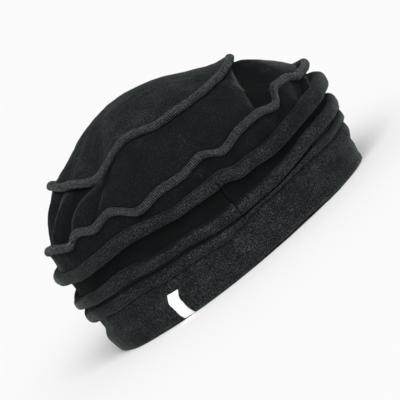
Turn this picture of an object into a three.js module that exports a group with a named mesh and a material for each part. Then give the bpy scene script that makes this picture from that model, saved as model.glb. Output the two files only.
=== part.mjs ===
// A fleece beanie, in millimetres, +Z up, resting on its hem at z = 0.
// +X is the front, +Y the wearer's left. Angles run round the hat from the front: 90 is the wearer's left, -90 the
// right and 180 the back. Every piece is a closed skin swept round the hat through sections in upright planes.
import * as THREE from "three";

// Cloth and sewing
const CLOTH = 2.4; // one layer of fleece
const PLY = 2.05; // one layer pressed into a turned-out seam edge
const SEAM_GAP = 0.3; // clearance between neighbouring pieces
const VALLEY_OUT = 1.2; // where the cloth above a seam meets its turned-out edge, outside the stitch line
const ROOT_OUT = 1.6; // where the cloth below a seam meets it
const SEAM_INSIDE = 1.6; // how far a seam reaches into the hat from the stitch line
const EDGE_ROUND = 0.7; // rounding of a cut edge
const BAND_OVERLAP = 0.4; // how far the wall stops above the lower end of the lowest tuck
const SIDE_SEAM = -84; // where the strips of the tucked panel are joined end to end
const SEAM_STEP = 1.4; // degrees over which one strip end gives way to the next

// Sections
const SECTIONS = 72; // round the hat
const DOME_STEPS = 6;
const PANEL_STEPS = 5;
const STEP_START = 0.8; // where the first step lies, in steps
const STEP_ROOM = 0.5; // steps left free at both ends together
const EGG = 0.05; // how much narrower the front half is than the back half

// Rings round the hat: how far each reaches at the front, the back and the sides
const RINGS = {
  crownEdge: { front: 73.4, back: 77.4, side: 66 },
  sideEdge: { front: 111.5, back: 106.5, side: 92 },
  wall: { front: 106.3, back: 107, side: 88 },
  bandTop: { front: 105, back: 107.6, side: 88.4 },
  bandBelly: { front: 102, back: 110.7, side: 89.6 },
  hem: { front: 99, back: 106.5, side: 85.5 },
};
const APEX = { x: -10, z: 134.9 };

// How much the crown's dome flattens towards its edge: 0 is a plain parabola
const DOME_FLARE = [
  { angle: -180, flare: 0.9 },
  { angle: -90, flare: 0.2 },
  { angle: 0, flare: 0.9 },
  { angle: 90, flare: 0.2 },
];

// Wavy edge of the seam round the crown: a row for each crest, trough and level stretch
const CROWN_EDGE = [
  { angle: -172, height: 119.1, reach: 5.6, tilt: 55 },
  { angle: -150, height: 114.4, reach: 5.6, tilt: 40 },
  { angle: -128, height: 107.6, reach: 5.4, tilt: 26 },
  { angle: -102, height: 118.1, reach: 5.6, tilt: 32 },
  { angle: -80, height: 111.4, reach: 5.4, tilt: 27 },
  { angle: -48, height: 107.8, reach: 5.6, tilt: 25 },
  { angle: -8, height: 110.4, reach: 5.7, tilt: 58 },
  { angle: 26, height: 106.8, reach: 5.6, tilt: 30 },
  { angle: 58, height: 111.6, reach: 5.6, tilt: 27 },
  { angle: 86, height: 108.2, reach: 5.4, tilt: 25 },
  { angle: 116, height: 115.8, reach: 5.6, tilt: 32 },
  { angle: 146, height: 110.6, reach: 5.4, tilt: 34 },
];
// Wavy edge of the seam below the side panel
const SIDE_EDGE = [
  { angle: -178, height: 85.2, reach: 5.9, tilt: 56 },
  { angle: -164, height: 86.0, reach: 5.6, tilt: 42 },
  { angle: -150, height: 83.4, reach: 5.3, tilt: 24 },
  { angle: -141, height: 88.8, reach: 5.3, tilt: 30 },
  { angle: -132, height: 85.0, reach: 5.3, tilt: 24 },
  { angle: -123, height: 88.2, reach: 5.3, tilt: 28 },
  { angle: -112, height: 77.1, reach: 5.3, tilt: 16 },
  { angle: -103, height: 79.5, reach: 5.3, tilt: 20 },
  { angle: -93, height: 78.2, reach: 5.3, tilt: 18 },
  { angle: -84, height: 80.8, reach: 5.3, tilt: 22 },
  { angle: -76, height: 73.2, reach: 5.5, tilt: 12 },
  { angle: -66, height: 76.8, reach: 5.4, tilt: 18 },
  { angle: -58, height: 76.4, reach: 5.5, tilt: 18 },
  { angle: -48, height: 72.8, reach: 5.5, tilt: 14 },
  { angle: -42.5, height: 82.4, reach: 5.6, tilt: 34 },
  { angle: -35, height: 80.6, reach: 5.8, tilt: 26 },
  { angle: -26, height: 75.0, reach: 6.4, tilt: 16 },
  { angle: 0, height: 73.6, reach: 8.0, tilt: 12 },
  { angle: 22, height: 72.4, reach: 6.2, tilt: 12 },
  { angle: 42, height: 78.4, reach: 5.6, tilt: 26 },
  { angle: 60, height: 74.8, reach: 5.4, tilt: 14 },
  { angle: 76, height: 80.6, reach: 5.4, tilt: 24 },
  { angle: 94, height: 77.2, reach: 5.4, tilt: 16 },
  { angle: 112, height: 84.6, reach: 5.3, tilt: 26 },
  { angle: 128, height: 79.8, reach: 5.4, tilt: 18 },
  { angle: 144, height: 84.2, reach: 5.3, tilt: 26 },
  { angle: 160, height: 80.6, reach: 5.4, tilt: 24 },
];
// The three tucks: top and bottom of the rolled lobe, and how far it stands out of the wall
const UPPER_TUCK = [
  { angle: -180, top: 69.0, bottom: 60.4, reach: 7.4 },
  { angle: -152, top: 68.6, bottom: 59.8, reach: 6.9 },
  { angle: -122, top: 72.5, bottom: 62.6, reach: 6.8 },
  { angle: -97, top: 65.3, bottom: 57.0, reach: 6.8 },
  { angle: -82, top: 65.0, bottom: 55.7, reach: 7.2 },
  { angle: -73, top: 60.8, bottom: 50.9, reach: 6.9 },
  { angle: -60, top: 59.3, bottom: 48.8, reach: 6.8 },
  { angle: -34, top: 63.0, bottom: 50.8, reach: 7.0 },
  { angle: 0, top: 65.2, bottom: 52.2, reach: 8.2 },
  { angle: 34, top: 63.6, bottom: 52.6, reach: 7.0 },
  { angle: 64, top: 60.4, bottom: 51.2, reach: 6.8 },
  { angle: 96, top: 65.6, bottom: 56.6, reach: 6.8 },
  { angle: 130, top: 70.6, bottom: 61.4, reach: 6.8 },
];
const MIDDLE_TUCK = [
  { angle: -180, top: 47.0, bottom: 39.4, reach: 7.3 },
  { angle: -152, top: 49.3, bottom: 40.5, reach: 7.0 },
  { angle: -132, top: 51.6, bottom: 42.3, reach: 6.8 },
  { angle: -108, top: 46.6, bottom: 39.0, reach: 6.6 },
  { angle: -84.7, top: 42.8, bottom: 33.0, reach: 7.4 },
  { angle: -83.3, top: 41.6, bottom: 32.5, reach: 6.4 },
  { angle: -68, top: 41.9, bottom: 33.2, reach: 6.5 },
  { angle: -40, top: 45.4, bottom: 36.8, reach: 6.0 },
  { angle: 0, top: 47.6, bottom: 37.8, reach: 4.8 },
  { angle: 44, top: 45.6, bottom: 37.2, reach: 6.0 },
  { angle: 76, top: 43.4, bottom: 34.8, reach: 6.5 },
  { angle: 112, top: 48.6, bottom: 40.4, reach: 6.7 },
  { angle: 142, top: 51.4, bottom: 42.6, reach: 6.9 },
];
const LOWER_TUCK = [
  { angle: -180, top: 37.0, bottom: 26.2, reach: 6.2 },
  { angle: -154, top: 39.4, bottom: 29.4, reach: 4.8 },
  { angle: -134, top: 40.6, bottom: 31.0, reach: 4.7 },
  { angle: -108, top: 37.4, bottom: 28.0, reach: 4.8 },
  { angle: -94, top: 34.2, bottom: 26.2, reach: 5.2 },
  { angle: -84.7, top: 32.5, bottom: 27.2, reach: 5.6 },
  { angle: -83.3, top: 32.0, bottom: 28.2, reach: 4.0 },
  { angle: -70, top: 32.6, bottom: 29.6, reach: 3.6 },
  { angle: -44, top: 35.0, bottom: 28.8, reach: 3.4 },
  { angle: 0, top: 35.8, bottom: 28.6, reach: 1.8 },
  { angle: 44, top: 35.6, bottom: 28.6, reach: 3.4 },
  { angle: 80, top: 34.0, bottom: 28.4, reach: 4.2 },
  { angle: 116, top: 38.4, bottom: 28.8, reach: 4.7 },
  { angle: 146, top: 40.0, bottom: 30.4, reach: 4.8 },
];
// Where the hem rises off the floor
const HEM_LIFT = [
  { angle: -180, lift: 0 },
  { angle: -154, lift: 0 },
  { angle: -128, lift: 1.3 },
  { angle: -104, lift: 0 },
  { angle: -96, lift: 0 },
  { angle: -70, lift: 1.9 },
  { angle: -36, lift: 0 },
  { angle: 104, lift: 0 },
  { angle: 126, lift: 1.4 },
  { angle: 150, lift: 0 },
];
// How far the side panel bulges from a straight slope
const PANEL_BULGE = [
  { angle: -180, stands: 2.0 },
  { angle: -90, stands: 3.2 },
  { angle: 0, stands: 2.2 },
  { angle: 90, stands: 3.2 },
];
// Soft folds of the side panel. The crest of each runs from an angle at the crown seam to one at the lower seam, over a
// power of the share of the way, and each has its height and its half widths before and after the crest, in degrees.
const PANEL_FOLDS = [
  { from: -160, to: -173, stands: -1.4, before: 5, after: 5, crisp: 2, bend: 1 },
  { from: -151, to: -168, stands: 1.8, before: 5, after: 5, crisp: 2, bend: 1 },
  { from: -142, to: -155, stands: -4.2, before: 8, after: 6.5, crisp: 2.5, bend: 1 },
  { from: -126, to: -144, stands: 3.0, before: 6, after: 7, crisp: 2, bend: 1 },
  { from: -118, to: -136, stands: -1.6, before: 6, after: 6, crisp: 2, bend: 1 },
  { from: -104, to: -118, stands: 1.2, before: 9, after: 9, crisp: 2, bend: 1 },
  { from: -3, to: -46, stands: -8.5, before: 11, after: 14, crisp: 3.5, bend: 0.5 },
  { from: 30, to: 36, stands: 1.4, before: 9, after: 9, crisp: 2, bend: 1 },
  { from: 40, to: 52, stands: -2.4, before: 9, after: 9, crisp: 2, bend: 1 },
  { from: 128, to: 140, stands: 2.4, before: 9, after: 9, crisp: 2, bend: 1 },
  { from: 144, to: 154, stands: -2.6, before: 8, after: 8, crisp: 2, bend: 1 },
];
const FOLD_FADE = 0.4; // power of a sine over the way, by which each fold fades out at both seams

// Shape of a tuck from its top root to its bottom root: drop as a share of its height, out as a share of its reach
const TUCK_SHAPE = [
  { drop: 0, out: 0 },
  { drop: 0.12, out: 0.62 },
  { drop: 0.4, out: 1 },
  { drop: 0.74, out: 0.94 },
  { drop: 0.98, out: 0.6 },
  { drop: 1, out: 0 },
];

// Inside of a tuck: the fold's pocket, between its lower and upper mouth
const POCKET = { lower: 0.84, middle: 0.52, upper: 0.2, tipRoom: 0.6, leastDepth: 0.4 };

// Section of the band, from its outer top down, under the hem and up inside: height as a share of the band's height
const BAND_SHAPE = [
  { ring: "wall", out: -0.8, up: 1 },
  { ring: "bandTop", out: 0, up: 0.93 },
  { ring: "bandTop", out: 0.4, up: 0.72 },
  { ring: "bandBelly", out: 0, up: 0.36 },
  { ring: "bandBelly", out: -1.2, up: 0.17 },
  { ring: "hem", out: 1.6, up: 0.05 },
  { ring: "hem", out: -0.4, up: 0 },
  { ring: "hem", out: -4.4, up: 0 },
  { ring: "bandBelly", out: -7.6, up: 0.12 },
  { ring: "bandBelly", out: -6.2, up: 0.4 },
  { ring: "wall", out: -5.6, up: 0.9 },
  { ring: "wall", out: -3.8, up: 1 },
];
const LABEL_ROWS = [2, 8]; // the stretch of the band's section that the label covers

// The label's two sides, the height of its upper end, its thickness and its clearance to the band
const LABEL = { from: -122.8, to: -118, top: 20.6, thick: 0.5, clear: 0.3 };

const BLACK_FLEECE = { color: 0x23282a, roughness: 0.95, metalness: 0 };
const WHITE_SATIN = { color: 0xf2f2f0, roughness: 0.6, metalness: 0 };

const radians = THREE.MathUtils.degToRad;
const mix = THREE.MathUtils.lerp;

// Value of one column of a table at an angle, eased between the rows so that each row is a crest, trough or shoulder
function wave(table, column, angle) {
  const turn = THREE.MathUtils.euclideanModulo(angle - table[0].angle, 360);
  const offset = (row) => row.angle - table[0].angle;
  const next = table.findIndex((row) => offset(row) > turn);
  const before = table.at(next < 0 ? -1 : next - 1);
  const after = next < 0 ? table[0] : table[next];
  const span = next < 0 ? 360 - offset(before) : offset(after) - offset(before);
  const share = (turn - offset(before)) / span;
  const eased = (1 - Math.cos(Math.PI * share)) / 2;
  return mix(before[column], after[column], eased);
}

// Shortest way from one angle to another, in degrees
function between(from, to) {
  return THREE.MathUtils.euclideanModulo(to - from + 180, 360) - 180;
}

// The upright plane at one angle: its outward direction, and points placed in it
class Plane {
  constructor(angle) {
    const turn = radians(angle);
    const { front, back, side } = RINGS.wall;
    this.angle = angle;
    this.cos = Math.cos(turn);
    this.sin = Math.sin(turn);
    this.out = new THREE.Vector3(this.cos / (front + back), this.sin / (2 * side), 0).normalize();
  }

  // A point a distance outside a ring, at a height
  at(ring, outside, height) {
    const centre = (ring.front - ring.back) / 2;
    const x = centre + ((ring.front + ring.back) / 2) * this.cos;
    const y = ring.side * this.sin * (1 - EGG * this.cos);
    return new THREE.Vector3(x, y, height).addScaledVector(this.out, outside);
  }

  // A point moved outwards and up
  shift(point, outwards, up) {
    const moved = point.clone().addScaledVector(this.out, outwards);
    moved.z += up;
    return moved;
  }

  // The line of points moved in by a thickness, square to the line, in reverse order: the inner face of a wall
  lining(line, thickness) {
    const inner = line.map((point, i) => {
      const along = line[Math.min(i + 1, line.length - 1)].clone().sub(line[Math.max(i - 1, 0)]);
      const run = along.dot(this.out);
      const length = Math.hypot(run, along.z);
      return this.shift(point, (thickness * along.z) / length, (-thickness * run) / length);
    });
    return inner.reverse();
  }
}

// A seam whose two layers stand outwards: points are given along the layers and across them, from the stitch line
function turnedSeam(plane, ring, table) {
  const tilt = radians(wave(table, "tilt", plane.angle));
  const reach = wave(table, "reach", plane.angle);
  const edge = plane.at(ring, 0, wave(table, "height", plane.angle));
  const place = (along, across) => {
    const back = along - reach;
    const outwards = back * Math.cos(tilt) - across * Math.sin(tilt);
    const up = back * Math.sin(tilt) + across * Math.cos(tilt);
    return plane.shift(edge, outwards, up);
  };
  const near = SEAM_GAP / 2;
  const far = near + PLY;
  const corner = far - EDGE_ROUND;
  // One layer, from its rounded edge to the inside of the hat: side is 1 above the stitch line and -1 below it
  const layer = (side) => [
    place(reach - EDGE_ROUND, side * far),
    place(reach, side * corner),
    place(reach, side * near),
    place(-SEAM_INSIDE, side * near),
  ];
  return {
    valley: place(VALLEY_OUT, far),
    root: place(ROOT_OUT, -far),
    upperLayer: layer(1),
    lowerLayer: layer(-1).reverse(),
  };
}

const crownSeam = (plane) => turnedSeam(plane, RINGS.crownEdge, CROWN_EDGE);
const sideSeam = (plane) => turnedSeam(plane, RINGS.sideEdge, SIDE_EDGE);

// Shares from just after 0 to just before 1, evenly spaced
const steps = (count) => Array.from({ length: count }, (_, i) => (i + STEP_START) / (count + STEP_ROOM));

// Crown top: a low dome, from its apex down, over the turned-out edge and back up inside
function crownTopSection(plane) {
  const seam = crownSeam(plane);
  const apex = new THREE.Vector3(APEX.x, 0, APEX.z);
  const flare = wave(DOME_FLARE, "flare", plane.angle);
  const dome = steps(DOME_STEPS).map((share) => {
    const fall = share ** 2 * (1 + flare * share * (1 - share));
    const point = apex.clone().lerp(seam.valley, share);
    point.z = mix(APEX.z, seam.valley.z, fall);
    return point;
  });
  return [...dome, seam.valley, ...seam.upperLayer, ...plane.lining(dome, CLOTH)];
}

// How far the folds of the side panel make it stand out, at an angle and a share of the way down it
function foldHeight(angle, share) {
  const folds = PANEL_FOLDS.map((fold) => {
    const crest = fold.from + between(fold.from, fold.to) * share ** fold.bend;
    const away = between(crest, angle);
    const halfWidth = away < 0 ? fold.before : fold.after;
    return fold.stands * Math.exp(-((Math.abs(away) / halfWidth) ** fold.crisp));
  });
  return folds.reduce((sum, value) => sum + value, 0) * Math.sin(Math.PI * share) ** FOLD_FADE;
}

// Side panel: a sloping wall between the two turned-out seams
function sidePanelSection(plane) {
  const upper = crownSeam(plane);
  const lower = sideSeam(plane);
  const slope = lower.valley.clone().sub(upper.root);
  const run = slope.dot(plane.out);
  const length = Math.hypot(run, slope.z);
  const bulge = wave(PANEL_BULGE, "stands", plane.angle);
  const face = steps(PANEL_STEPS).map((share) => {
    const stands = bulge * 4 * share * (1 - share) + foldHeight(plane.angle, share);
    const point = upper.root.clone().lerp(lower.valley, share);
    return plane.shift(point, (-stands * slope.z) / length, (stands * run) / length);
  });
  return [
    upper.root,
    ...face,
    lower.valley,
    ...lower.upperLayer,
    ...plane.lining(face, CLOTH),
    ...upper.lowerLayer,
  ];
}

// One tuck: the outer face of its rolled lobe, and the narrow pocket of the fold inside it
function tuck(plane, table) {
  const top = wave(table, "top", plane.angle);
  const bottom = wave(table, "bottom", plane.angle);
  const reach = wave(table, "reach", plane.angle);
  const at = (outside, drop) => plane.at(RINGS.wall, outside, mix(top, bottom, drop));
  const depth = Math.max(reach - CLOTH - POCKET.tipRoom, POCKET.leastDepth);
  return {
    face: TUCK_SHAPE.map((row) => at(row.out * reach, row.drop)),
    pocket: [at(-CLOTH, POCKET.lower), at(depth - CLOTH, POCKET.middle), at(-CLOTH, POCKET.upper)],
  };
}

// Tucked panel: an upright wall with three tucks
function tuckedPanelSection(plane) {
  const seam = sideSeam(plane);
  const tucks = [UPPER_TUCK, MIDDLE_TUCK, LOWER_TUCK].map((table) => tuck(plane, table));
  const foot = wave(LOWER_TUCK, "bottom", plane.angle) + BAND_OVERLAP;
  return [
    seam.root,
    ...tucks.flatMap((each) => each.face.slice(0, -1)),
    plane.at(RINGS.wall, 0, foot),
    plane.at(RINGS.wall, -CLOTH, foot),
    ...tucks.toReversed().flatMap((each) => each.pocket),
    ...seam.lowerLayer,
  ];
}

// Band: doubled cloth with a soft rolled hem that is flat where it rests
function bandSection(plane) {
  const top = wave(LOWER_TUCK, "bottom", plane.angle) + BAND_OVERLAP - SEAM_GAP;
  const lift = wave(HEM_LIFT, "lift", plane.angle);
  return BAND_SHAPE.map((row) => plane.at(RINGS[row.ring], row.out, mix(lift, top, row.up)));
}

// The angles of the sections: evenly spaced but for the narrow step at the side seam
function sectionAngles() {
  const first = SIDE_SEAM + SEAM_STEP / 2;
  const spacing = (360 - SEAM_STEP) / (SECTIONS - 1);
  return Array.from({ length: SECTIONS }, (_, i) => first + i * spacing);
}

// A closed skin through sections that go once round the hat; poles close the two ends of an open section.
// Each four-sided facet is split along its shorter diagonal, so that facing skins are split alike and stay clear.
function skin(sections, poles = []) {
  const rows = sections.length;
  const columns = sections[0].length;
  const points = [...sections.flat(), ...poles];
  const index = [];
  const vertex = (row, column) => (row % rows) * columns + (column % columns);
  const lastColumn = poles.length ? columns - 1 : columns;
  for (let row = 0; row < rows; row += 1) {
    for (let column = 0; column < lastColumn; column += 1) {
      const [a, b] = [vertex(row, column), vertex(row + 1, column)];
      const [c, d] = [vertex(row + 1, column + 1), vertex(row, column + 1)];
      const splitsAC = points[a].distanceTo(points[c]) < points[b].distanceTo(points[d]);
      index.push(...(splitsAC ? [a, d, c, a, c, b] : [a, d, b, b, d, c]));
    }
    if (poles.length) {
      const [top, bottom] = [rows * columns, rows * columns + 1];
      index.push(top, vertex(row, 0), vertex(row + 1, 0));
      index.push(bottom, vertex(row + 1, columns - 1), vertex(row, columns - 1));
    }
  }
  const geometry = new THREE.BufferGeometry().setFromPoints(points);
  geometry.setIndex(index);
  geometry.computeVertexNormals();
  return geometry;
}

// Label: a strip that lies on the band and passes under the hem, as a section down its face and up its back
function labelSection(plane) {
  const line = bandSection(plane).slice(...LABEL_ROWS);
  const [first, second] = line;
  line[0] = first.clone().lerp(second, (first.z - LABEL.top) / (first.z - second.z));
  const face = plane.lining(line, -LABEL.clear - LABEL.thick).reverse();
  const back = plane.lining(line, -LABEL.clear);
  return [...face, ...back];
}

// A closed strip through sections that stop at two ends
function strip(sections) {
  const columns = sections[0].length;
  const points = sections.flat();
  const index = [];
  const quad = (a, b, c, d) => index.push(a, d, c, a, c, b);
  for (let column = 0; column < columns; column += 1) {
    const next = (column + 1) % columns;
    for (let start = 0; start < points.length - columns; start += columns) {
      quad(start + column, start + columns + column, start + columns + next, start + next);
    }
  }
  const last = points.length - columns;
  for (let down = 0; down < columns / 2 - 1; down += 1) {
    const up = columns - 1 - down;
    quad(down, down + 1, up - 1, up);
    quad(last + up, last + up - 1, last + down + 1, last + down);
  }
  const geometry = new THREE.BufferGeometry().setFromPoints(points);
  geometry.setIndex(index);
  geometry.computeVertexNormals();
  return geometry;
}

function mesh(name, geometry, finish) {
  const made = new THREE.Mesh(geometry, new THREE.MeshStandardMaterial(finish));
  made.name = name;
  return made;
}

const planes = sectionAngles().map((angle) => new Plane(angle));
const labelPlanes = [LABEL.from, (LABEL.from + LABEL.to) / 2, LABEL.to].map((angle) => new Plane(angle));
const apexPoles = [new THREE.Vector3(APEX.x, 0, APEX.z), new THREE.Vector3(APEX.x, 0, APEX.z - CLOTH)];

const beanie = new THREE.Group();
beanie.add(mesh("crown_top", skin(planes.map(crownTopSection), apexPoles), BLACK_FLEECE));
beanie.add(mesh("side_panel", skin(planes.map(sidePanelSection)), BLACK_FLEECE));
beanie.add(mesh("tucked_panel", skin(planes.map(tuckedPanelSection)), BLACK_FLEECE));
beanie.add(mesh("band", skin(planes.map(bandSection)), BLACK_FLEECE));
beanie.add(mesh("label", strip(labelPlanes.map(labelSection)), WHITE_SATIN));

export default beanie;
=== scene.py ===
"""Looks of the fleece beanie: fine meshes of its panels, overlock stitching and label, and its materials.

Tables and sizes are in millimetres and degrees, as in the part's own source. +X is the front, +Y the
wearer's left and +Z up, and angles run round the hat from the front. Meshes are made in metres.
"""
import math

import bpy
import numpy as np
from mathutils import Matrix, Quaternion, Vector


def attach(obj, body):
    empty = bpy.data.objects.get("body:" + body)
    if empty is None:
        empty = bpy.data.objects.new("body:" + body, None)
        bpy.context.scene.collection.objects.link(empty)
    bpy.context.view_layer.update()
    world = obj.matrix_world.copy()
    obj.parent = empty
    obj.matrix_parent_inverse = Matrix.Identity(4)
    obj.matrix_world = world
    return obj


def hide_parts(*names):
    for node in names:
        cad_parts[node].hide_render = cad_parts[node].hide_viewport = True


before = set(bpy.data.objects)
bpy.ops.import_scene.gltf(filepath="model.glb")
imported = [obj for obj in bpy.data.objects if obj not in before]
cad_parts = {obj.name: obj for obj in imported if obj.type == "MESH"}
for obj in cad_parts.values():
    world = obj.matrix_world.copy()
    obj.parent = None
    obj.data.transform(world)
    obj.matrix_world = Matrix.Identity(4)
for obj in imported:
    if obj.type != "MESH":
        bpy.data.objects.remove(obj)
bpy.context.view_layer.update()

MM = 0.001
UP = np.array([0.0, 0.0, 1.0])
# Added to lengths that may be 0 before a division
TINY = 1e-9

# Thickness of the cloth and of each ply of a turned-out seam, and the gap between its two plies
CLOTH = 2.4
PLY = 2.45
SEAM_GAP = 0.12
# Where the panels leave a turned-out seam, along its plies from the stitch line: above, below and inside
VALLEY_OUT = 1.2
ROOT_OUT = 1.6
SEAM_INSIDE = 1.6
# How far the tucked panel ends above the foot of its lower tuck, and the gap from there to the band
BAND_OVERLAP = 0.4
BAND_GAP = 0.3
# Where round the hat the strips of the tucked panel are joined end to end
SIDE_SEAM = -84
# By what share the rings are narrower at the front and wider at the back
EGG = 0.05

# Fineness of the meshes: sections round the hat, closer ones about the side seam, and the spacing of the
# points along each
SECTIONS = 660
SEAM_SECTIONS = {"reach": 2.4, "step": 0.12}
FACE_SPACING = 0.85
EDGE_SPACING = 0.595
INNER_SPACING = 3.0
# Rows of points across the crown and the side panel: the first and last share of the way, and how many
CROWN_ROWS = {"face": (0.025, 0.985, 62), "inside": (0.06, 0.93, 14)}
WALL_ROWS = {"face": (0.02, 0.98, 58), "inside": (0.08, 0.92, 12)}
# Angles at which the length of a seam's edge is measured
EDGE_STEPS = 4001

# Ovals of the hat at its seams and edges, as distances from the origin, and the top of its dome
RINGS = {
    "crownEdge": {"front": 73.4, "back": 77.4, "side": 66},
    "sideEdge": {"front": 111.5, "back": 106.5, "side": 92},
    "wall": {"front": 106.3, "back": 107, "side": 88},
    "bandTop": {"front": 105, "back": 107.6, "side": 88.4},
    "bandBelly": {"front": 102, "back": 110.7, "side": 89.6},
    "hem": {"front": 99, "back": 106.5, "side": 85.5},
}
APEX = {"x": -10, "z": 134.9}


def table(names, *rows):
    """A table by column name, from one tuple a row."""
    return dict(zip(names.split(), (np.array(values, float) for values in zip(*rows))))


def rows_of(columns):
    """The rows of a table, one tuple a row."""
    return list(zip(*columns.values()))


# How much sooner than a parabola the dome falls towards its edge
DOME_FLARE = table(
    "angle flare",
    (-180, 0.9),
    (-90, 0.2),
    (0, 0.9),
    (90, 0.2),
)
# Cut edges of the two turned-out seams: how high they are, and how far their plies reach out and tilt up
CROWN_EDGE = table(
    "angle height reach tilt",
    (-172, 119.1, 5.6, 55),
    (-150, 114.4, 5.6, 40),
    (-128, 107.6, 5.4, 26),
    (-102, 118.1, 5.6, 32),
    (-80, 111.4, 5.4, 27),
    (-48, 107.8, 5.6, 25),
    (-8, 110.4, 5.7, 58),
    (26, 106.8, 5.6, 30),
    (58, 111.6, 5.6, 27),
    (86, 108.2, 5.4, 25),
    (116, 115.8, 5.6, 32),
    (146, 110.6, 5.4, 34),
)
SIDE_EDGE = table(
    "angle height reach tilt",
    (-178, 85.2, 5.9, 56),
    (-164, 86.0, 5.6, 42),
    (-150, 83.4, 5.3, 24),
    (-141, 88.8, 5.3, 30),
    (-132, 85.0, 5.3, 24),
    (-123, 88.2, 5.3, 28),
    (-112, 77.1, 5.3, 16),
    (-103, 79.5, 5.3, 20),
    (-93, 78.2, 5.3, 18),
    (-84, 80.8, 5.3, 22),
    (-76, 73.2, 5.5, 12),
    (-66, 76.8, 5.4, 18),
    (-58, 76.4, 5.5, 18),
    (-48, 72.8, 5.5, 14),
    (-42.5, 82.4, 5.6, 34),
    (-35, 80.6, 5.8, 26),
    (-26, 75.0, 6.4, 16),
    (0, 73.6, 8.0, 12),
    (22, 72.4, 6.2, 12),
    (42, 78.4, 5.6, 26),
    (60, 74.8, 5.4, 14),
    (76, 80.6, 5.4, 24),
    (94, 77.2, 5.4, 16),
    (112, 84.6, 5.3, 26),
    (128, 79.8, 5.4, 18),
    (144, 84.2, 5.3, 26),
    (160, 80.6, 5.4, 24),
)
# Rolled tucks: the top and bottom of each lobe, and how far it reaches out of the wall
UPPER_TUCK = table(
    "angle top bottom reach",
    (-180, 69.0, 60.4, 7.4),
    (-152, 68.6, 59.8, 6.9),
    (-122, 72.5, 62.6, 6.8),
    (-97, 65.3, 57.0, 6.8),
    (-82, 65.0, 55.7, 7.2),
    (-73, 60.8, 50.9, 6.9),
    (-60, 59.3, 48.8, 6.8),
    (-34, 63.0, 50.8, 7.0),
    (0, 65.2, 52.2, 8.2),
    (34, 63.6, 52.6, 7.0),
    (64, 60.4, 51.2, 6.8),
    (96, 65.6, 56.6, 6.8),
    (130, 70.6, 61.4, 6.8),
)
MIDDLE_TUCK = table(
    "angle top bottom reach",
    (-180, 47.0, 39.4, 7.3),
    (-152, 49.3, 40.5, 7.0),
    (-132, 51.6, 42.3, 6.8),
    (-108, 46.6, 39.0, 6.6),
    (-84.7, 42.8, 33.0, 7.4),
    (-83.3, 41.6, 32.5, 6.4),
    (-68, 41.9, 33.2, 6.5),
    (-40, 45.4, 36.8, 6.0),
    (0, 47.6, 37.8, 4.8),
    (44, 45.6, 37.2, 6.0),
    (76, 43.4, 34.8, 6.5),
    (112, 48.6, 40.4, 6.7),
    (142, 51.4, 42.6, 6.9),
)
LOWER_TUCK = table(
    "angle top bottom reach",
    (-180, 37.0, 26.2, 6.2),
    (-154, 39.4, 29.4, 4.8),
    (-134, 40.6, 31.0, 4.7),
    (-108, 37.4, 28.0, 4.8),
    (-94, 34.2, 26.2, 5.2),
    (-84.7, 32.5, 27.2, 5.6),
    (-83.3, 32.0, 28.2, 4.0),
    (-70, 32.6, 29.6, 3.6),
    (-44, 35.0, 28.8, 3.4),
    (0, 35.8, 28.6, 1.8),
    (44, 35.6, 28.6, 3.4),
    (80, 34.0, 28.4, 4.2),
    (116, 38.4, 28.8, 4.7),
    (146, 40.0, 30.4, 4.8),
)
# How far the hem lifts off the table in its slight waves
HEM_LIFT = table(
    "angle lift",
    (-180, 0),
    (-154, 0),
    (-128, 1.3),
    (-104, 0),
    (-96, 0),
    (-70, 1.9),
    (-36, 0),
    (104, 0),
    (126, 1.4),
    (150, 0),
)
# How far the side panel stands out halfway between its seams
PANEL_BULGE = table(
    "angle stands",
    (-180, 2.0),
    (-90, 3.2),
    (0, 2.2),
    (90, 3.2),
)
# Folds of the side panel, from the crown seam to the lower seam: how far each stands out or in, its half
# widths before and after its crest, how crisp it is, and the power of the share of the way that bends it
PANEL_FOLDS = table(
    "start end stands before after crisp bend",
    (-168, -177, 1.6, 2.2, 2.2, 1.3, 1),
    (-159, -172, -2.2, 2.8, 2.8, 1.6, 1),
    (-151, -168, 2.4, 2.2, 2.2, 1.2, 1),
    (-142, -155, -4.6, 8.0, 6.5, 3.0, 1),
    (-126, -144, 3.2, 4.5, 7.0, 1.8, 1),
    (-118, -136, -1.8, 5.0, 5.0, 1.8, 1),
    (-104, -118, 1.2, 9.0, 9.0, 2.0, 1),
    (-3, -46, -8.5, 11.0, 14.0, 4.5, 0.5),
    (30, 36, 1.4, 9.0, 9.0, 2.0, 1),
    (40, 52, -2.4, 9.0, 9.0, 2.0, 1),
    (128, 140, 2.4, 9.0, 9.0, 2.0, 1),
    (144, 154, -2.6, 8.0, 8.0, 2.0, 1),
    (166, 170, 1.2, 6.0, 6.0, 2.0, 1),
)
# How gently the folds rise from the seams: the smaller, the sooner they stand out in full
FOLD_FADE = 0.4

# Small creases of the wall near the front, each from its angle under the lower frill to its angle at the
# upper tuck, and how far each row of the wall from the frill down takes part in them
FRONT_CREASES = table(
    "start end stands half_width",
    (-38, -40, 1.5, 5.5),
    (-22.5, -27, 3.9, 1.9),
)
CREASED_ROWS = (1, 1, 0.7, 0.3)

# Each ply of a turned-out seam: where its face swells, as a share of its reach, and by how much
PLY_FACE = {"share": 0.55, "proud": 0.05}
# Its rounded cut edge: places inwards from the edge, and under the outer face or over the inner one
OUTER_EDGE = table(
    "inwards under",
    (1.9, -0.12),
    (1.1, 0.15),
    (0.4, 0.75),
    (0.05, 1.5),
)
INNER_EDGE = table(
    "inwards over",
    (-0.02, 0.4),
    (0.15, 0.08),
    (0.9, 0),
)

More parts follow.
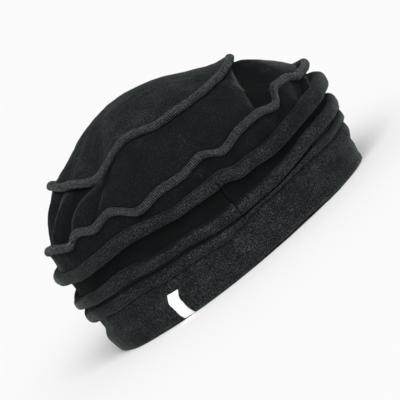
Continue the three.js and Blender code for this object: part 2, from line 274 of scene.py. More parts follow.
# Rolled lobe of a tuck, from its soft upper side to the shadowed groove under its lip: the share of the way
# down the lobe, and of its reach
TUCK_FACE = table(
    "drop out",
    (0.04, 0.1),
    (0.02, 0.32),
    (0.06, 0.58),
    (0.17, 0.84),
    (0.33, 0.97),
    (0.5, 1.0),
    (0.7, 0.98),
    (0.87, 0.89),
    (0.98, 0.7),
    (1.03, 0.44),
    (1.05, 0.22),
    (1.05, 0.12),
)
# Pocket of the fold inside a tuck, from its foot up: the share of the way down the lobe, and of its depth
TUCK_POCKET = table(
    "drop depth",
    (0.84, 0),
    (0.52, 1),
    (0.2, 0),
)
# Wall left round the pocket, and the least that the pocket is deep
POCKET_ROOM = 0.6
POCKET_LEAST = 0.4
# How far the cloth stands out in the groove under each tuck's lip, and how far down its lobe the groove is
GROOVE_OUT = (0.3, 3.2, 0.3)
GROOVE_DROP = 1.1

# Section of the band, from its outer top down, under the hem and up inside: the ring that each point
# follows, how far outside it is, and its share of the way up. The first rows end under the hem.
BAND_SHAPE = (
    ("wall", -0.8, 1),
    ("bandTop", 0, 0.95),
    ("bandTop", 0.35, 0.86),
    ("bandTop", 0.4, 0.7),
    ("bandBelly", 0.1, 0.5),
    ("bandBelly", -0.2, 0.34),
    ("bandBelly", -1.2, 0.17),
    ("hem", 1.7, 0.04),
    ("hem", 1.0, 0.008),
    ("hem", -0.4, 0),
    ("hem", -4.4, 0),
    ("hem", -6.6, 0.02),
    ("bandBelly", -7.6, 0.12),
    ("bandBelly", -6.2, 0.4),
    ("wall", -5.6, 0.9),
    ("wall", -3.8, 1),
)
BAND_FACE_ROWS = 11

# Label: the angles and the height that it covers, its thickness, its clearance from the band and how many
# columns of points it has, and how far its upper end curls away, which fades over some rows
LABEL = {"from": -122.8, "to": -118, "top": 20.6, "thick": 0.45, "clear": 0.2, "columns": 25}
LABEL_CURL = {"height": 0.5, "rows": 4}

# Overlock stitching over the cut edges: each stitch is a thread bent round both plies, from its needle
# hole above to the one below, and it leans by some degrees. Its path runs to the cut edge and back the same
# way on the other side: places are inwards from the edge, and proud of the ply's outer face.
STITCH = {"spacing": 1.4, "radius": 0.31, "lean": 0.6, "sides": 6}
STITCH_PATH = table(
    "inwards proud",
    (3.2, -0.15),
    (2.6, 0.15),
    (1.9, 0.26),
    (1.1, 0.03),
    (0.36, -0.6),
    (-0.08, -1.4),
    (-0.2, -2.45),
)
NEEDLE_LINE = {"inwards": 3.2, "proud": -0.05, "radius": 0.2, "points": 900}

# Groove of the side seam and the slight pucker about it, with their half widths in degrees
SEAM_GROOVE = {"depth": 1.3, "half_width": 0.4, "pucker": 0.5, "pucker_width": 2.2}

# Painted highlight on convex folds, paler colour and more sheen: the radius at which it is full, the steps
# of the mesh over which this is measured, and the power that delays it
FOLD_LIGHT = {"radius": 3.0, "steps": (3, 9), "onset": 1.8}
# Painted shade in hollows, darker colour and less sheen: how deep they are when it is full, over some steps
HOLLOW_SHADE = {"depth": 3.5, "steps": (16, 30)}
# Painted light and shade of each panel: how much lighter or darker its whole colour and sheen are made, and
# how strongly the painted shade of hollows is laid on it
PANEL_LIGHT_AND_SHADE = {
    "crown_top_cloth": {"open": 0.4, "pressed": 0.3},
    "side_panel_cloth": {"open": -0.7, "pressed": 2.4},
    "tucked_panel_cloth": {"open": -0.45, "pressed": 1.3},
    "band_cloth": {"open": 0.7, "pressed": 1.0},
}

# Soft unevenness of hand-sewn fleece: lengths and heights of waves that run in every direction, how many
# there are of each, and the factors between which their closeness varies
LUMPS = table(
    "length height",
    (28, 0.3),
    (9, 0.08),
    (2.6, 0.045),
)
WAVES = {"count": 20, "factors": (0.7, 1.4), "seeds_apart": 10}


def wave(rows, name, angles):
    """A column of a table at some angles, eased so that each row is a crest, trough or shoulder."""
    starts = rows["angle"] - rows["angle"][0]
    turn = (angles - rows["angle"][0]) % 360
    before = np.searchsorted(starts, turn, side="right") - 1
    after = (before + 1) % len(starts)
    span = (starts[after] - starts[before]) % 360
    eased = (1 - np.cos(np.pi * (turn - starts[before]) / span)) / 2
    return rows[name][before] * (1 - eased) + rows[name][after] * eased


def between(start, end):
    """The shortest way from one angle to another, in degrees."""
    return (end - start + 180) % 360 - 180


def upright(values):
    """Values as an array of one column."""
    return np.reshape(values, (-1, 1))


class Rays:
    """The upright planes at some angles round the hat, with each plane's outward direction."""

    def __init__(self, angles):
        turn = np.radians(angles)
        wall = RINGS["wall"]
        self.angles = angles
        self.cos = np.cos(turn)
        self.sin = np.sin(turn)
        out = np.stack([self.cos / (wall["front"] + wall["back"]), self.sin / (2 * wall["side"])], axis=1)
        out /= np.linalg.norm(out, axis=1, keepdims=True)
        self.out = np.column_stack([out, np.zeros(len(out))])

    def at(self, ring, outside, height):
        """Points a distance outside a ring, at a height."""
        size = RINGS[ring]
        x = (size["front"] - size["back"]) / 2 + (size["front"] + size["back"]) / 2 * self.cos
        y = size["side"] * self.sin * (1 - EGG * self.cos)
        flat = np.column_stack([x, y, np.zeros(len(x))])
        return self.shift(flat, outside, height)

    def shift(self, points, outwards, up):
        """Points moved outwards and up."""
        moved = points + self.out * upright(outwards)
        moved[:, 2] += up
        return moved

    def lining(self, line, thickness):
        """A line of points moved in by a thickness, square to the line, in reverse order."""
        inner = []
        for i, points in enumerate(line):
            along = line[min(i + 1, len(line) - 1)] - line[max(i - 1, 0)]
            run = np.sum(along * self.out, axis=1)
            length = np.hypot(run, along[:, 2])
            inner.append(self.shift(points, thickness * along[:, 2] / length, -thickness * run / length))
        return inner[::-1]


def spline(line, spacing):
    """A smooth line through some points, as new points about a spacing apart."""
    knots = [2 * line[0] - line[1], *line, 2 * line[-1] - line[-2]]
    made = []
    for a, b, c, d in zip(knots, knots[1:], knots[2:], knots[3:]):
        count = max(1, round(float(np.linalg.norm(c - b, axis=1).mean()) / spacing))
        made += [catmull(a, b, c, d, step / count) for step in range(count)]
    return [*made, line[-1]]


def catmull(a, b, c, d, share):
    """A point of the centripetal Catmull-Rom curve between b and c."""
    lengths = [np.linalg.norm(q - p, axis=1, keepdims=True) for p, q in ((a, b), (b, c), (c, d))]
    gaps = [np.sqrt(length) + TINY for length in lengths]
    t0 = 0 * gaps[0]
    t1 = t0 + gaps[0]
    t2 = t1 + gaps[1]
    t3 = t2 + gaps[2]
    t = t1 + share * gaps[1]
    ab = ((t1 - t) * a + (t - t0) * b) / (t1 - t0)
    bc = ((t2 - t) * b + (t - t1) * c) / (t2 - t1)
    cd = ((t3 - t) * c + (t - t2) * d) / (t3 - t2)
    abc = ((t2 - t) * ab + (t - t0) * bc) / (t2 - t0)
    bcd = ((t3 - t) * bc + (t - t1) * cd) / (t3 - t1)
    return ((t2 - t) * abc + (t - t1) * bcd) / (t2 - t1)


class Seam:
    """A seam whose two plies stand outwards: places are given along the plies and across them."""

    # Outer and inner face of a ply, from the middle of the gap
    FAR = SEAM_GAP / 2 + PLY
    NEAR = SEAM_GAP / 2

    def __init__(self, rays, ring, rows):
        self.rays = rays
        self.tilt = np.radians(wave(rows, "tilt", rays.angles))
        self.reach = wave(rows, "reach", rays.angles)
        self.edge = rays.at(ring, 0, wave(rows, "height", rays.angles))

    def place(self, along, across):
        """Points along the plies from the stitch line, and across from the face where the plies meet."""
        back = along - self.reach
        outwards = back * np.cos(self.tilt) - across * np.sin(self.tilt)
        up = back * np.sin(self.tilt) + across * np.cos(self.tilt)
        return self.rays.shift(self.edge, outwards, up)

    def from_edge(self, inwards, across):
        """Points inwards from the cut edge, and across from the face where the plies meet."""
        return self.place(self.reach - inwards, across)

    def valley(self):
        """Where the panel above the seam comes up to it."""
        return self.place(VALLEY_OUT, self.FAR)

    def root(self):
        """Where the panel below the seam leaves it."""
        return self.place(ROOT_OUT, -self.FAR)

    def ply(self, side):
        """One ply from its outer face over the rounded cut edge: side is 1 above the seam and -1 below."""
        line = [self.place(self.reach * PLY_FACE["share"], side * (self.FAR + PLY_FACE["proud"]))]
        for inwards, under in rows_of(OUTER_EDGE):
            line.append(self.from_edge(inwards, side * (self.FAR - under)))
        for inwards, over in rows_of(INNER_EDGE):
            line.append(self.from_edge(inwards, side * (self.NEAR + over)))
        return line

    def inner(self, side):
        """The ply's face against the other ply, back to the inside of the hat."""
        return [self.place(along, side * self.NEAR) for along in (self.reach / 2, -SEAM_INSIDE)]


def crown_seam(rays):
    """The seam between the crown top and the side panel, whose cut edges are the upper frill."""
    return Seam(rays, "crownEdge", CROWN_EDGE)


def side_seam(rays):
    """The seam between the side panel and the tucked panel, whose cut edges are the lower frill."""
    return Seam(rays, "sideEdge", SIDE_EDGE)


def crown_top_section(rays):
    """Crown top: a low dome, over its turned-out edge and back up inside."""
    seam = crown_seam(rays)
    apex = np.tile([APEX["x"], 0, APEX["z"]], (len(rays.angles), 1)).astype(float)
    valley = seam.valley()
    flare = wave(DOME_FLARE, "flare", rays.angles)

    def dome(share):
        fall = share**2 * (1 + flare * share * (1 - share))
        points = apex * (1 - share) + valley * share
        points[:, 2] = apex[:, 2] * (1 - fall) + valley[:, 2] * fall
        return points

    face = [dome(share) for share in np.linspace(*CROWN_ROWS["face"])]
    inside = rays.lining([dome(share) for share in np.linspace(*CROWN_ROWS["inside"])], CLOTH)
    edge = spline([valley, *seam.ply(1), *seam.inner(1)], EDGE_SPACING)
    return face + edge + inside


def fold_height(angles, share):
    """How far the side panel's folds stand out, at a share of the way down it."""
    turn = between(PANEL_FOLDS["start"], PANEL_FOLDS["end"])
    crest = PANEL_FOLDS["start"] + turn * share ** PANEL_FOLDS["bend"]
    away = between(crest, upright(angles))
    away = np.abs(away) / np.where(away < 0, PANEL_FOLDS["before"], PANEL_FOLDS["after"])
    folds = PANEL_FOLDS["stands"] * np.exp(-(away ** PANEL_FOLDS["crisp"]))
    return folds.sum(axis=1) * math.sin(math.pi * share) ** FOLD_FADE


def side_panel_section(rays):
    """Side panel: a sloping wall between the two turned-out seams."""
    upper = crown_seam(rays)
    lower = side_seam(rays)
    root = upper.root()
    valley = lower.valley()
    slope = valley - root
    run = np.sum(slope * rays.out, axis=1)
    length = np.hypot(run, slope[:, 2])
    bulge = wave(PANEL_BULGE, "stands", rays.angles)

    def wall(share):
        stands = bulge * 4 * share * (1 - share) + fold_height(rays.angles, share)
        points = root * (1 - share) + valley * share
        return rays.shift(points, -stands * slope[:, 2] / length, stands * run / length)

    face = [wall(share) for share in np.linspace(*WALL_ROWS["face"])]
    top = spline([*upper.inner(-1)[::-1], *upper.ply(-1)[::-1], root], EDGE_SPACING)
    bottom = spline([valley, *lower.ply(1), *lower.inner(1)], EDGE_SPACING)
    inside = rays.lining([wall(share) for share in np.linspace(*WALL_ROWS["inside"])], CLOTH)
    return top + face + bottom + inside


def tuck(rays, rows, groove_out):
    """One tuck: the face of its rolled lobe, the groove under its lip, and the pocket inside it."""
    top = wave(rows, "top", rays.angles)
    bottom = wave(rows, "bottom", rays.angles)
    reach = wave(rows, "reach", rays.angles)

    def at(outside, drop):
        return rays.at("wall", outside, top * (1 - drop) + bottom * drop)

    deepest = np.maximum(reach - CLOTH - POCKET_ROOM, POCKET_LEAST)
    face = [at(out * reach, drop) for drop, out in rows_of(TUCK_FACE)]
    pocket = [at(depth * deepest - CLOTH, drop) for drop, depth in rows_of(TUCK_POCKET)]
    return face, at(groove_out, GROOVE_DROP), pocket


def crease_height(angles, share):
    """How far the front creases stand out, at a share of the way from the frill to the upper tuck."""
    crest = FRONT_CREASES["start"] * (1 - share) + FRONT_CREASES["end"] * share
    away = between(crest, upright(angles)) / FRONT_CREASES["half_width"]
    return np.sum(FRONT_CREASES["stands"] * np.exp(-(away**2)), axis=1)


def groove_depth(angles):
    """How deep the groove of the side seam is, with the pucker about it."""
    away = between(SIDE_SEAM, angles)
    groove = SEAM_GROOVE["depth"] * np.exp(-((away / SEAM_GROOVE["half_width"]) ** 2))
    pucker = SEAM_GROOVE["pucker"] * np.exp(-((away / SEAM_GROOVE["pucker_width"]) ** 2))
    return groove + pucker


def tucked_panel_section(rays):
    """Tucked panel: an upright wall with its upper edge turned out and three tucks."""
    seam = side_seam(rays)
    rows = (UPPER_TUCK, MIDDLE_TUCK, LOWER_TUCK)
    tucks = [tuck(rays, *one) for one in zip(rows, GROOVE_OUT)]
    wall = [seam.root()]
    for face, groove, _ in tucks:
        wall += [*face, groove]
    foot = wave(LOWER_TUCK, "bottom", rays.angles) + BAND_OVERLAP
    wall[-1] = rays.at("wall", 0, foot)
    for row, part in enumerate(CREASED_ROWS):
        stands = part * crease_height(rays.angles, row / (len(CREASED_ROWS) - 1))
        wall[row] = rays.shift(wall[row], stands, 0)
    # The side seam shows from the middle of the upper tuck down
    seam_from = 1 + len(TUCK_FACE["drop"]) // 2
    depth = groove_depth(rays.angles)
    wall = wall[:seam_from] + [rays.shift(points, -depth, 0) for points in wall[seam_from:]]
    outer = spline([*seam.inner(-1)[::-1], *seam.ply(-1)[::-1], *wall], FACE_SPACING)
    inside = [rays.at("wall", -CLOTH, foot)]
    for _, _, pocket in tucks[::-1]:
        inside += pocket
    return outer + spline(inside, INNER_SPACING)


def band_outline(rays):
    """The band's outer face down to the hem's underside, and its inner face from there up."""
    top = wave(LOWER_TUCK, "bottom", rays.angles) + BAND_OVERLAP - BAND_GAP
    lift = wave(HEM_LIFT, "lift", rays.angles)
    line = [rays.at(ring, out, lift * (1 - up) + top * up) for ring, out, up in BAND_SHAPE]
    return line[:BAND_FACE_ROWS], line[BAND_FACE_ROWS:]


def band_section(rays):
    """Band: doubled cloth with a soft rolled hem that is flat where it rests."""
    outer, inner = band_outline(rays)
    return spline(outer, FACE_SPACING) + spline(inner, INNER_SPACING)


def section_angles():
    """Evenly spaced angles, and a closer row of them at the side seam."""
    reach = SEAM_SECTIONS["reach"]
    near = np.arange(-reach, reach, SEAM_SECTIONS["step"])
    even = np.linspace(reach, 360 - reach, SECTIONS, endpoint=False)
    return SIDE_SEAM + np.concatenate([near, even])


def lumps(points):
    """Points made softly uneven by their place alone, so that facing plies move together and stay apart."""
    moved = points.copy()
    count = WAVES["count"]
    for size, (length, height) in enumerate(rows_of(LUMPS)):
        for axis in range(3):
            rng = np.random.default_rng(WAVES["seeds_apart"] * size + axis)
            directions = rng.normal(size=(count, 3))
            directions /= np.linalg.norm(directions, axis=1, keepdims=True)
            turns = 2 * np.pi / length * rng.uniform(*WAVES["factors"], count)
            phases = rng.uniform(0, 2 * np.pi, count)
            for direction, turn, phase in zip(directions, turns, phases):
                moved[..., axis] += height / math.sqrt(count) * np.cos(points @ direction * turn + phase)
    moved[..., 2] = np.maximum(moved[..., 2], 0)
    return moved


def skin(name, section, rays, poles=()):
    """A closed mesh through sections that go once round the hat; poles close the ends of open sections."""
    points = lumps(np.stack(section(rays), axis=1))
    rows, columns = points.shape[:2]
    row, col = np.meshgrid(np.arange(rows), np.arange(columns - bool(poles)), indexing="ij")
    faces = ring_faces(row, col, rows, columns)
    # Painted highlight on folds and painted shade in hollows, kept on each vertex for the material
    light_and_shade = painted_light_and_shade(points, PANEL_LIGHT_AND_SHADE[name]["pressed"]).reshape(-1)
    points = points.reshape(-1, 3)
    if poles:
        faces += pole_faces(rows, columns)
        points = np.vstack([points, lumps(np.array(poles, float))])
        light_and_shade = np.append(light_and_shade, [0, 0])
    piece = add_mesh(name, points, faces)
    add_values(piece, "painted_light_and_shade", light_and_shade)
    # Painted light or shade laid evenly over the whole panel
    add_values(piece, "painted_panel_light", np.full(len(points), PANEL_LIGHT_AND_SHADE[name]["open"]))
    return piece


def pole_faces(rows, columns):
    """Triangles from the ends of all sections to the two poles, whose points come after the others."""
    top = rows * columns
    bottom = top + 1
    faces = []
    for start in range(0, top, columns):
        after = (start + columns) % top
        faces.append([top, start, after])
        faces.append([bottom, after + columns - 1, start + columns - 1])
    return faces


def add_values(piece, name, values):
    """Keeps a value for each vertex, which the material reads by name."""
    piece.data.attributes.new(name, "FLOAT", "POINT").data.foreach_set("value", values)


def painted_light_and_shade(points, pressed):
    """Painted highlight over folds, above 0, and painted shade in creases and hollows, below 0."""
    along = shifted(points, 0, 1) - shifted(points, 0, -1)
    around = shifted(points, 1, 0) - shifted(points, -1, 0)
    normal = np.cross(along, around)
    normal /= np.linalg.norm(normal, axis=2, keepdims=True) + TINY
    bend = sum(stands_out(points, normal, steps, 2) for steps in FOLD_LIGHT["steps"]) * FOLD_LIGHT["radius"]
    hollow = sum(stands_out(points, normal, steps, 0) for steps in HOLLOW_SHADE["steps"]) / HOLLOW_SHADE["depth"]
    fold_light = np.sign(bend) * np.minimum(np.abs(bend), 1) ** FOLD_LIGHT["onset"]
    return fold_light + np.clip(hollow, -1, 0) * pressed


def stands_out(points, normal, steps, power):
    """How far points stand out from between neighbours some steps away, over a power of that distance."""
    total = np.zeros(points.shape[:2])
    for down, along in ((steps, 0), (0, steps)):
        before = shifted(points, -down, -along)
        after = shifted(points, down, along)
        apart = np.linalg.norm(after - before, axis=2) / 2
        total += np.sum((points - (before + after) / 2) * normal, axis=2) / apart**power
    return total


def shifted(points, rows, columns):
    """Each point's neighbour some rows round the hat and columns along the section, held at its ends."""
    there = np.clip(np.arange(points.shape[1]) + columns, 0, points.shape[1] - 1)
    return np.roll(points, -rows, axis=0)[:, there]


def ring_faces(row, col, rows, columns):
    """Four-sided faces between neighbouring rows and columns of points, which close into rings."""
    after_row = (row + 1) % rows
    after_col = (col + 1) % columns
    corners = [
        row * columns + col,
        row * columns + after_col,
        after_row * columns + after_col,
        after_row * columns + col,
    ]
    return np.stack(corners, axis=-1).reshape(-1, 4).tolist()


def tube(path, sideways, radius, sides, closed=False):
    """Points and faces of a thread along each path of an array: paths by points by 3."""
    if closed:
        along = np.roll(path, -1, axis=1) - np.roll(path, 1, axis=1)
    else:
        along = np.gradient(path, axis=1)
    outwards = np.cross(along, sideways)
    outwards /= np.linalg.norm(outwards, axis=2, keepdims=True)
    across = np.cross(along, outwards)
    across /= np.linalg.norm(across, axis=2, keepdims=True)
    turn = 2 * np.pi * np.arange(sides) / sides
    ring = np.cos(turn)[:, None] * outwards[:, :, None] + np.sin(turn)[:, None] * across[:, :, None]
    points = path[:, :, None] + radius * ring
    paths, steps = path.shape[:2]
    step, side = np.meshgrid(np.arange(steps if closed else steps - 1), np.arange(sides), indexing="ij")
    one = np.array(ring_faces(step, side, steps, sides))
    faces = (one[None] + steps * sides * np.arange(paths)[:, None, None]).reshape(-1, 4).tolist()
    if not closed:
        first = np.arange(paths)[:, None] * steps * sides + np.arange(sides)
        faces += first[:, ::-1].tolist() + (first + (steps - 1) * sides).tolist()
    return points.reshape(-1, 3), faces


def evenly_round(make_seam, spacing):
    """Angles at which points of a seam's edge are evenly spaced along it."""
    angles = np.linspace(-180, 180, EDGE_STEPS)
    edge = make_seam(Rays(angles)).edge
    length = np.concatenate([[0], np.cumsum(np.linalg.norm(np.diff(edge, axis=0), axis=1))])
    count = round(length[-1] / spacing)
    return np.interp(np.arange(count) * length[-1] / count, length, angles)


def stitch_places():
    """Places along one stitch, from above the seam, side 1, round its cut edges to below it, side -1."""
    above = [(inwards, proud, 1) for inwards, proud in rows_of(STITCH_PATH)]
    below = [(inwards, proud, -1) for inwards, proud, _ in above[-2::-1]]
    return above + below


def overlock(name, make_seam):
    """The stitching over one seam's cut edges, with the needle line on both faces."""
    angles = evenly_round(make_seam, STITCH["spacing"])
    places = stitch_places()
    slant = np.linspace(-0.5, 0.5, len(places)) * STITCH["lean"]
    path = []
    for (inwards, proud, side), lean in zip(places, slant):
        seam = make_seam(Rays(angles + lean))
        path.append(seam.from_edge(inwards, side * (seam.FAR + proud)))
    edge = make_seam(Rays(angles)).edge
    sideways = (np.roll(edge, -1, axis=0) - np.roll(edge, 1, axis=0))[:, None]
    parts = [tube(lumps(np.stack(path, axis=1)), sideways, STITCH["radius"], STITCH["sides"])]
    seam = make_seam(Rays(np.linspace(-180, 180, NEEDLE_LINE["points"], endpoint=False)))
    for side in (1, -1):
        across = side * (seam.FAR + NEEDLE_LINE["proud"])
        line = lumps(seam.from_edge(NEEDLE_LINE["inwards"], across))[None]
        parts.append(tube(line, UP, NEEDLE_LINE["radius"], STITCH["sides"], closed=True))
    return add_mesh(name, *joined(parts))


def joined(parts):
    """Points and faces of several meshes as one."""
    points = []
    faces = []
    for more, sides in parts:
        start = sum(len(each) for each in points)
        points.append(more)
        faces += [[start + corner for corner in face] for face in sides]
    return np.vstack(points), faces


def ribbon_label(name):
    """The label: a thin ribbon that lies on the band and turns in under the hem."""
    rays = Rays(np.linspace(LABEL["from"], LABEL["to"], LABEL["columns"]))
    outer, _ = band_outline(rays)
    line = [points for points in spline(outer, FACE_SPACING) if points[:, 2].mean() < LABEL["top"]]
    curl = [LABEL_CURL["height"] * math.exp(-i / LABEL_CURL["rows"]) for i in range(len(line))]
    line = [rays.shift(points, out, 0) for points, out in zip(line, curl)]
    face = rays.lining(line, -LABEL["clear"] - LABEL["thick"])[::-1]
    back = rays.lining(line, -LABEL["clear"])
    points = lumps(np.stack(face + back, axis=1))
    rows, columns = points.shape[:2]
    row, col = np.meshgrid(np.arange(rows - 1), np.arange(columns), indexing="ij")
    faces = ring_faces(row, col, rows, columns)
    # Long edges of the ribbon, which run between its face and its back
    for start, turn in ((0, -1), ((rows - 1) * columns, 1)):
        for down in range(columns // 2 - 1):
            up = columns - 1 - down
            corners = [start + down, start + up, start + up - 1, start + down + 1]
            faces.append(corners[::turn])
    return add_mesh(name, points.reshape(-1, 3), faces)


def add_object(name, data):
    """An object of the scene with its data."""
    made = bpy.data.objects.new(name, data)
    bpy.context.scene.collection.objects.link(made)
    return made


def add_mesh(name, points, faces):
    """A smooth piece of the scene, from points in millimetres."""
    mesh = bpy.data.meshes.new(name)
    mesh.from_pydata((np.asarray(points) * MM).tolist(), [], faces)
    mesh.validate()
    mesh.polygons.foreach_set("use_smooth", [True] * len(mesh.polygons))
    return add_object(name, mesh)


def dress(piece, material, slot, *nodes):
    """Gives a piece its material and puts it in the place of CAD nodes; the slot is not used."""
    piece.data.materials.append(material)
    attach(piece, "root")
    if nodes:
        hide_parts(*nodes)


# Noise in the materials: the nap's speckles, patches and tufts, and the strands of the thread
SPECKLES = {"size": 0.75, "detail": 3, "rough": 0.8}
PATCHES = {"size": 14, "detail": 3, "rough": 0.5}
TUFTS = {"size": 1.2, "detail": 4, "rough": 0.7}
STRANDS = {"size": 0.9, "detail": 3, "rough": 0.8}
NOISE_MIDDLE = 0.5

# Nap of the fleece: how much patches and painted light and shade change its tone, how crisp its speckles are
# on flat cloth and how much crisper in painted light, and the strength and height of its tufts
NAP = {"patchiness": 0.12, "by_painted_light": 0.045, "crisp": 0.75, "crisp_in_painted_light": 0.45}
NAP_RELIEF = {"strength": 0.8, "height": 0.5}
# Sheen of the fleece on flat cloth, what painted light adds and painted shade takes, how broad it is, its
# tint
SHEEN = {"weight": 0.26, "by_painted_light": 0.11, "roughness": 0.24, "tint": (0.6, 0.66, 0.66, 1)}
# Surfaces of the fleece and of the thread
FLEECE = {"roughness": 1.0, "specular": 0.1}
THREAD = {"roughness": 0.9, "specular": 0.15, "sheen": 0.15}
# Surface of the ribbon, the closeness and wavering of its ribs, and their strength and height
RIBBON = {"roughness": 0.45, "ribs": 700, "waver": 0.6}
RIBBON_RELIEF = {"strength": 0.3, "height": 0.1}

# Colours of each material, at places in its noise or ribs
FLEECE_COLOURS = (
    (0.48, (0.0035, 0.0045, 0.0048, 1)),
    (0.605, (0.0075, 0.0095, 0.01, 1)),
    (0.77, (0.08, 0.094, 0.097, 1)),
)
THREAD_COLOURS = (
    (0.42, (0.006, 0.0075, 0.008, 1)),
    (0.68, (0.13, 0.15, 0.155, 1)),
)
RIBBON_COLOURS = (
    (0, (0.78, 0.78, 0.76, 1)),
    (1, (0.88, 0.88, 0.87, 1)),
)


def add_node(tree, kind, **settings):
    """A node with some of its properties set."""
    node = tree.nodes.new(kind)
    for name, value in settings.items():
        setattr(node, name, value)
    return node


def new_material(name):
    """A material with its node tree and its shader."""
    material = bpy.data.materials.new(name)
    material.use_nodes = True
    tree = material.node_tree
    return material, tree, tree.nodes["Principled BSDF"]


def place_on_piece(tree):
    """The place on a piece that a material has reached, as an output socket."""
    return add_node(tree, "ShaderNodeTexCoord").outputs["Object"]


def noise(tree, place, size, detail, rough):
    """Noise with features of about a size in millimetres, as its output socket."""
    node = add_node(tree, "ShaderNodeTexNoise")
    node.inputs["Scale"].default_value = 1 / (size * MM)
    node.inputs["Detail"].default_value = detail
    node.inputs["Roughness"].default_value = rough
    tree.links.new(place, node.inputs["Vector"])
    return node.outputs["Fac"]


def weighted(tree, value, *others):
    """A value plus some others times their weights, as an output socket."""
    for other, weight in others:
        node = add_node(tree, "ShaderNodeMath", operation="MULTIPLY_ADD")
        node.inputs[1].default_value = weight
        tree.links.new(other, node.inputs[0])
        tree.links.new(value, node.inputs[2])
        value = node.outputs[0]
    return value


def scaled(tree, value, factor, plus):
    """A value times a factor plus a constant, held between 0 and 1, as an output socket."""
    node = add_node(tree, "ShaderNodeMath", operation="MULTIPLY_ADD", use_clamp=True)
    node.inputs[1].default_value = factor
    node.inputs[2].default_value = plus
    tree.links.new(value, node.inputs[0])
    return node.outputs[0]


def drawn_in(tree, value, share):
    """Noise drawn in towards its middle, down to a share of its distance from there."""
    away = add_node(tree, "ShaderNodeMath", operation="SUBTRACT")
    away.inputs[1].default_value = NOISE_MIDDLE
    tree.links.new(value, away.inputs[0])
    node = add_node(tree, "ShaderNodeMath", operation="MULTIPLY_ADD")
    node.inputs[2].default_value = NOISE_MIDDLE
    tree.links.new(away.outputs[0], node.inputs[0])
    tree.links.new(share, node.inputs[1])
    return node.outputs[0]


def ramp(tree, value, stops):
    """A colour ramp over a value, from stops of a position and a colour, as its output socket."""
    node = add_node(tree, "ShaderNodeValToRGB")
    elements = node.color_ramp.elements
    elements[0].position, elements[0].color = stops[0]
    elements[1].position, elements[1].color = stops[-1]
    for position, colour in stops[1:-1]:
        elements.new(position).color = colour
    tree.links.new(value, node.inputs["Fac"])
    return node.outputs["Color"]


def add_bumps(tree, shader, value, strength, height):
    """Bumps of a strength and a height where a value is high."""
    node = add_node(tree, "ShaderNodeBump")
    node.inputs["Strength"].default_value = strength
    node.inputs["Distance"].default_value = height * MM
    tree.links.new(value, node.inputs["Height"])
    tree.links.new(node.outputs["Normal"], shader.inputs["Normal"])


def nap_and_painted_light(tree, place, light_and_shade):
    """Tone of the nap: speckles and patches, with painted light and shade of folds, hollows and panels."""
    # Speckles crisper in painted light and softer in painted shade
    crisp = scaled(tree, light_and_shade, NAP["crisp_in_painted_light"], NAP["crisp"])
    speckles = drawn_in(tree, noise(tree, place, **SPECKLES), crisp)
    patches = noise(tree, place, **PATCHES)
    # Painted light or shade of the whole panel
    lies = add_node(tree, "ShaderNodeAttribute", attribute_name="painted_panel_light").outputs["Fac"]
    by_painted_light = NAP["by_painted_light"]
    return weighted(tree, speckles, (patches, NAP["patchiness"]), (light_and_shade, by_painted_light), (lies, by_painted_light))


def make_fleece():
    """Black fleece: a dark matt ground under a paler speckled nap of short tufts."""
    material, tree, shader = new_material("black_fleece")
    place = place_on_piece(tree)
    # Painted highlight on folds and painted shade in hollows, for the colour and the sheen
    light_and_shade = add_node(tree, "ShaderNodeAttribute", attribute_name="painted_light_and_shade").outputs["Fac"]
    colour = ramp(tree, nap_and_painted_light(tree, place, light_and_shade), FLEECE_COLOURS)
    tree.links.new(colour, shader.inputs["Base Color"])
    shader.inputs["Roughness"].default_value = FLEECE["roughness"]
    shader.inputs["Specular IOR Level"].default_value = FLEECE["specular"]
    # Sheen raised by painted light on folds, and taken away by painted shade in hollows
    sheen = scaled(tree, light_and_shade, SHEEN["by_painted_light"], SHEEN["weight"])
    tree.links.new(sheen, shader.inputs["Sheen Weight"])
    shader.inputs["Sheen Roughness"].default_value = SHEEN["roughness"]
    shader.inputs["Sheen Tint"].default_value = SHEEN["tint"]
    add_bumps(tree, shader, noise(tree, place, **TUFTS), **NAP_RELIEF)
    return material


def make_thread():
    """Black sewing thread, a little smoother than the fleece."""
    material, tree, shader = new_material("black_thread")
    colour = ramp(tree, noise(tree, place_on_piece(tree), **STRANDS), THREAD_COLOURS)
    tree.links.new(colour, shader.inputs["Base Color"])
    shader.inputs["Roughness"].default_value = THREAD["roughness"]
    shader.inputs["Specular IOR Level"].default_value = THREAD["specular"]
    shader.inputs["Sheen Weight"].default_value = THREAD["sheen"]
    shader.inputs["Sheen Roughness"].default_value = SHEEN["roughness"]
    shader.inputs["Sheen Tint"].default_value = SHEEN["tint"]
    return material


def make_ribbon():
    """White woven ribbon, with the fine ribs of its weave."""
    material, tree, shader = new_material("white_satin")
    ribs = add_node(tree, "ShaderNodeTexWave", bands_direction="Z")
    ribs.inputs["Scale"].default_value = RIBBON["ribs"]
    ribs.inputs["Distortion"].default_value = RIBBON["waver"]
    tree.links.new(place_on_piece(tree), ribs.inputs["Vector"])
    colour = ramp(tree, ribs.outputs["Fac"], RIBBON_COLOURS)
    tree.links.new(colour, shader.inputs["Base Color"])
    shader.inputs["Roughness"].default_value = RIBBON["roughness"]
    add_bumps(tree, shader, ribs.outputs["Fac"], **RIBBON_RELIEF)
    return material


# Camera: the wearer's right side from slightly above, rolled as in the photo. Its elevation and distance are
# from a height on the hat's axis, and the width is what the picture shows at the place where it aims.
VIEW = {"elevation": 7, "roll": -39, "distance": 2400, "height": 68, "width": 270}
AIM = (-3.7, -2.7, 46.1)

# Floor: how far it reaches in metres, and its looks
FLOOR = {"reach": 12, "colour": (0.9, 0.9, 0.9, 1), "roughness": 0.9}

# Studio light: a weak even surround, and a broad soft light from above and from the wearer's right
STUDIO = {"surround": 0.4, "light": 3.2, "spread": 50, "from": (0.08, -0.8, 0.75)}
WHITE = (1, 1, 1, 1)


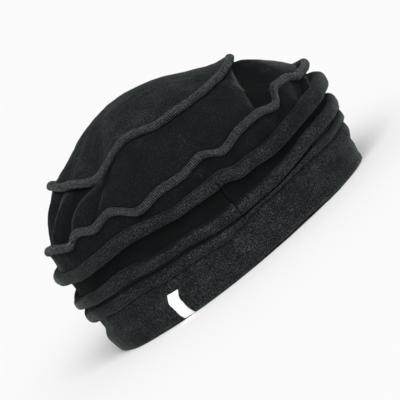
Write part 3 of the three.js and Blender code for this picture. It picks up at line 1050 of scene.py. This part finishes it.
def make_camera():
    """The scene's camera, in the view of the photo."""
    raised = math.radians(VIEW["elevation"])
    camera = add_object("camera", bpy.data.cameras.new("camera"))
    back = Vector((0, -math.cos(raised), math.sin(raised)))
    camera.location = (back * VIEW["distance"] + Vector((0, 0, VIEW["height"]))) * MM
    look = Vector(AIM) * MM - camera.location
    roll = Quaternion((0, 0, 1), math.radians(VIEW["roll"]))
    camera.rotation_mode = "QUATERNION"
    camera.rotation_quaternion = look.to_track_quat("-Z", "Y") @ roll
    camera.data.lens = camera.data.sensor_width * VIEW["distance"] / VIEW["width"]
    bpy.context.scene.camera = camera


def make_floor():
    """A wide pale floor that the hem rests on."""
    reach = FLOOR["reach"]
    corners = [(-reach, -reach, 0), (reach, -reach, 0), (reach, reach, 0), (-reach, reach, 0)]
    mesh = bpy.data.meshes.new("floor")
    mesh.from_pydata(corners, [], [(0, 1, 2, 3)])
    floor = add_object("floor", mesh)
    material, _, shader = new_material("pale_floor")
    shader.inputs["Base Color"].default_value = FLOOR["colour"]
    shader.inputs["Roughness"].default_value = FLOOR["roughness"]
    mesh.materials.append(material)


def make_light():
    """Plain soft light on a plain white surround."""
    world = bpy.data.worlds.new("studio")
    bpy.context.scene.world = world
    world.use_nodes = True
    background = world.node_tree.nodes["Background"]
    background.inputs["Color"].default_value = WHITE
    background.inputs["Strength"].default_value = STUDIO["surround"]
    light = bpy.data.lights.new("broad_light", "SUN")
    light.energy = STUDIO["light"]
    light.angle = math.radians(STUDIO["spread"])
    lamp = add_object("broad_light", light)
    lamp.rotation_mode = "QUATERNION"
    lamp.rotation_quaternion = Vector(STUDIO["from"]).to_track_quat("Z", "Y")
    bpy.context.scene.view_settings.view_transform = "Standard"


make_camera()
make_floor()
make_light()
fleece = make_fleece()
thread = make_thread()
ribbon = make_ribbon()
sections = Rays(section_angles())
poles = [(APEX["x"], 0, APEX["z"]), (APEX["x"], 0, APEX["z"] - CLOTH)]
dress(skin("crown_top_cloth", crown_top_section, sections, poles), fleece, "black_fleece", "crown_top")
dress(skin("side_panel_cloth", side_panel_section, sections), fleece, "black_fleece", "side_panel")
dress(skin("tucked_panel_cloth", tucked_panel_section, sections), fleece, "black_fleece", "tucked_panel")
dress(skin("band_cloth", band_section, sections), fleece, "black_fleece", "band")
dress(overlock("crown_edge_stitching", crown_seam), thread, "black_fleece")
dress(overlock("side_edge_stitching", side_seam), thread, "black_fleece")
dress(ribbon_label("label_ribbon"), ribbon, "white_satin", "label")
